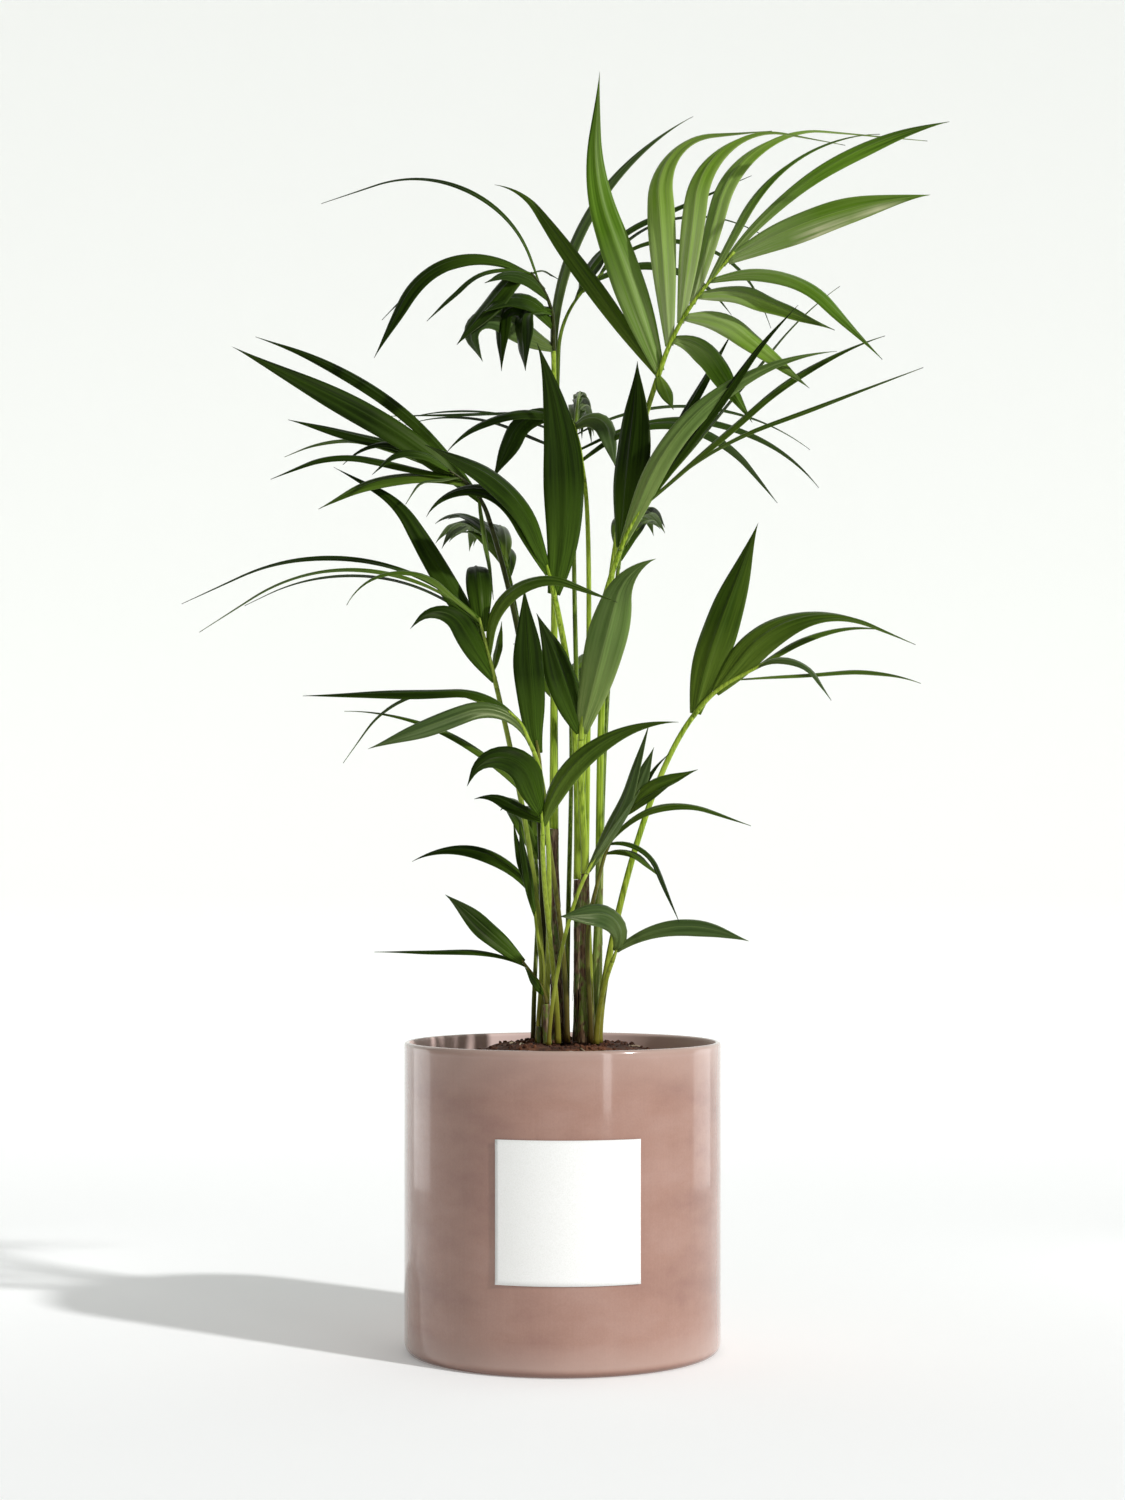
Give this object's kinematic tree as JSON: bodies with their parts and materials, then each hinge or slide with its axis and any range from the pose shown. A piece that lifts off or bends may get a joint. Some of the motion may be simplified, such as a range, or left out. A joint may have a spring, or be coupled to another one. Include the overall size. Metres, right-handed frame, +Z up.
{
  "type": "potted kentia palm",
  "caption": "Tall indoor palm with arching feather-like fronds on slim upright petioles, growing as a clump in a plain glazed cylindrical pot with a blank label.",
  "frame": {"origin": "middle of the pot's flat underside", "axes": "+Z up along the pot's axis, -Y the side with the label, +X to the right seen from the label's side"},
  "size_m": [0.6672, 0.4233, 1.1294],
  "materials": {
    "glaze": "gloss",
    "label_paper": "satin",
    "potting_soil": "matte",
    "stem_fibre": "matte",
    "petiole": "satin",
    "frond_leaf": "satin"
  },
  "bodies": {
    "root": {"pot": "glaze", "label": "label_paper", "soil": "potting_soil", "stem_main": "stem_fibre", "stem_brown": "stem_fibre", "stem_green": "stem_fibre", "stem_right": "stem_fibre", "stem_small": "stem_fibre", "stem_stub": "stem_fibre", "petiole_top_right": "petiole", "frond_top_right": "frond_leaf", "petiole_top_back": "petiole", "frond_top_back": "frond_leaf", "petiole_top_left": "petiole", "frond_top_left": "frond_leaf", "petiole_front": "petiole", "frond_front": "frond_leaf", "petiole_upper_left": "petiole", "frond_upper_left": "frond_leaf", "petiole_left": "petiole", "frond_left": "frond_leaf", "petiole_middle_left": "petiole", "frond_middle_left": "frond_leaf", "petiole_low_front": "petiole", "frond_low_front": "frond_leaf", "petiole_inner_right": "petiole", "frond_inner_right": "frond_leaf", "petiole_inner_left": "petiole", "frond_inner_left": "frond_leaf", "petiole_upper_right": "petiole", "frond_upper_right": "frond_leaf", "petiole_behind": "petiole", "frond_behind": "frond_leaf", "petiole_right": "petiole", "frond_right": "frond_leaf", "petiole_low_right": "petiole", "frond_low_right": "frond_leaf", "petiole_young_right": "petiole", "frond_young_right": "frond_leaf", "petiole_lowest_right": "petiole", "frond_lowest_right": "frond_leaf", "frond_lowest_left": "frond_leaf", "petiole_low_left": "petiole", "frond_low_left": "frond_leaf", "petiole_back_left": "petiole", "frond_back_left": "frond_leaf", "petiole_back_right": "petiole", "frond_back_right": "frond_leaf", "petiole_back_middle": "petiole", "frond_back_middle": "frond_leaf", "petiole_back_low": "petiole", "frond_back_low": "frond_leaf", "petiole_back_top": "petiole", "frond_back_top": "frond_leaf"}
  },
  "joints": []
}
